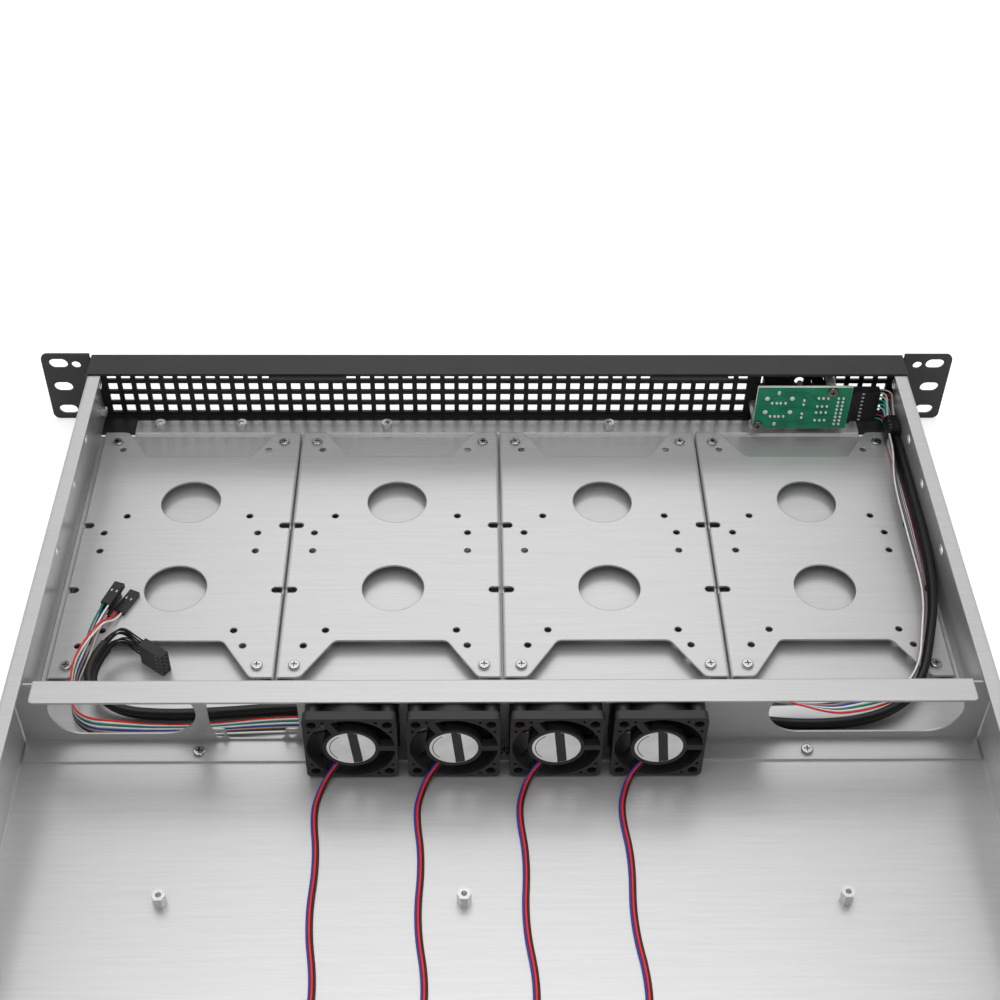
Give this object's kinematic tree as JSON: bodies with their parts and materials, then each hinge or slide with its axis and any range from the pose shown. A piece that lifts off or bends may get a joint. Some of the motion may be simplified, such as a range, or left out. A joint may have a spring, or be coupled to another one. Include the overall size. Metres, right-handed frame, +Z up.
{
  "type": "rackmount server case",
  "caption": "Empty low rackmount server case without lid: perforated front panel with ears, drive plates, fan wall with fans, front input board and cables.",
  "frame": {"origin": "on the floor under the middle of the case", "axes": "+Z up, the front panel faces -Y, +X to the case's own left when looked at from its front"},
  "size_m": [0.4826, 0.55, 0.044],
  "materials": {
    "zinc_sheet": "satin",
    "drive_sheet": "satin",
    "black_paint": "matte",
    "screw_steel": "satin",
    "nut_steel": "satin",
    "fan_black": "matte",
    "rotor_black": "satin",
    "winding_copper": "satin",
    "label_white": "matte",
    "board_green": "satin",
    "port_steel": "satin",
    "light_lens": "gloss",
    "switch_black": "matte",
    "button_black": "satin",
    "plug_black": "matte",
    "cable_black": "satin",
    "wrap_tape": "gloss",
    "short_wires": "satin",
    "wire_red": "satin",
    "wire_white": "satin",
    "wire_green": "satin",
    "wire_blue": "satin",
    "wire_tan": "satin",
    "wire_black": "satin",
    "fan_plug_white": "satin"
  },
  "bodies": {
    "case": {"base_pan": "zinc_sheet", "rear_panel": "zinc_sheet", "fan_wall": "zinc_sheet", "front_panel": "black_paint", "panel_nuts": "nut_steel", "panel_screws": "screw_steel", "plate_standoffs": "nut_steel", "plate_screws": "screw_steel", "foot_screws": "screw_steel", "fan_screws": "screw_steel", "board_standoffs": "nut_steel", "fan_stators": "winding_copper", "fan_labels": "label_white", "io_board": "board_green", "io_posts": "nut_steel", "io_screws": "screw_steel", "usb_ports": "port_steel", "indicator_lights": "light_lens", "switch_bodies": "switch_black", "pin_header": "switch_black", "header_plug": "plug_black", "header_wires": "short_wires", "harness_wrap": "wrap_tape", "usb_cable_lower": "cable_black", "usb_cable_upper": "cable_black", "usb_plug": "plug_black", "usb_plug_wires": "cable_black", "front_plugs": "plug_black", "fan_plugs": "fan_plug_white", "drive_plate_1": "drive_sheet", "fan_housing_1": "fan_black", "fan_lead_1": "cable_black", "drive_plate_2": "drive_sheet", "fan_housing_2": "fan_black", "fan_lead_2": "cable_black", "drive_plate_3": "drive_sheet", "fan_housing_3": "fan_black", "fan_lead_3": "cable_black", "drive_plate_4": "drive_sheet", "fan_housing_4": "fan_black", "fan_lead_4": "cable_black", "wire_red": "wire_red", "wire_white_1": "wire_white", "wire_green": "wire_green", "wire_white_2": "wire_white", "wire_blue": "wire_blue", "wire_tan": "wire_tan", "wire_black": "wire_black", "wire_white_3": "wire_white"},
    "fan_1": {"fan_rotor_1": "rotor_black"},
    "fan_2": {"fan_rotor_2": "rotor_black"},
    "fan_3": {"fan_rotor_3": "rotor_black"},
    "fan_4": {"fan_rotor_4": "rotor_black"},
    "power_press": {"power_button": "button_black"},
    "reset_press": {"reset_button": "button_black"}
  },
  "joints": [
    {"name": "fan_1_spin", "type": "hinge", "parent": "case", "child": "fan_1", "pos_m": [0.06615, -0.043, 0.0221], "axis": [0, 1, 0], "continuous": true},
    {"name": "fan_2_spin", "type": "hinge", "parent": "case", "child": "fan_2", "pos_m": [0.02205, -0.043, 0.0221], "axis": [0, 1, 0], "continuous": true},
    {"name": "fan_3_spin", "type": "hinge", "parent": "case", "child": "fan_3", "pos_m": [-0.02205, -0.043, 0.0221], "axis": [0, 1, 0], "continuous": true},
    {"name": "fan_4_spin", "type": "hinge", "parent": "case", "child": "fan_4", "pos_m": [-0.06615, -0.043, 0.0221], "axis": [0, 1, 0], "continuous": true},
    {"name": "power_button_slide", "type": "slide", "parent": "case", "child": "power_press", "axis": [0, 1, 0], "range_m": [0, 0.001], "stiffness_N_per_m": 900, "springref_m": -0.001},
    {"name": "reset_button_slide", "type": "slide", "parent": "case", "child": "reset_press", "axis": [0, 1, 0], "range_m": [0, 0.001], "stiffness_N_per_m": 900, "springref_m": -0.001}
  ]
}
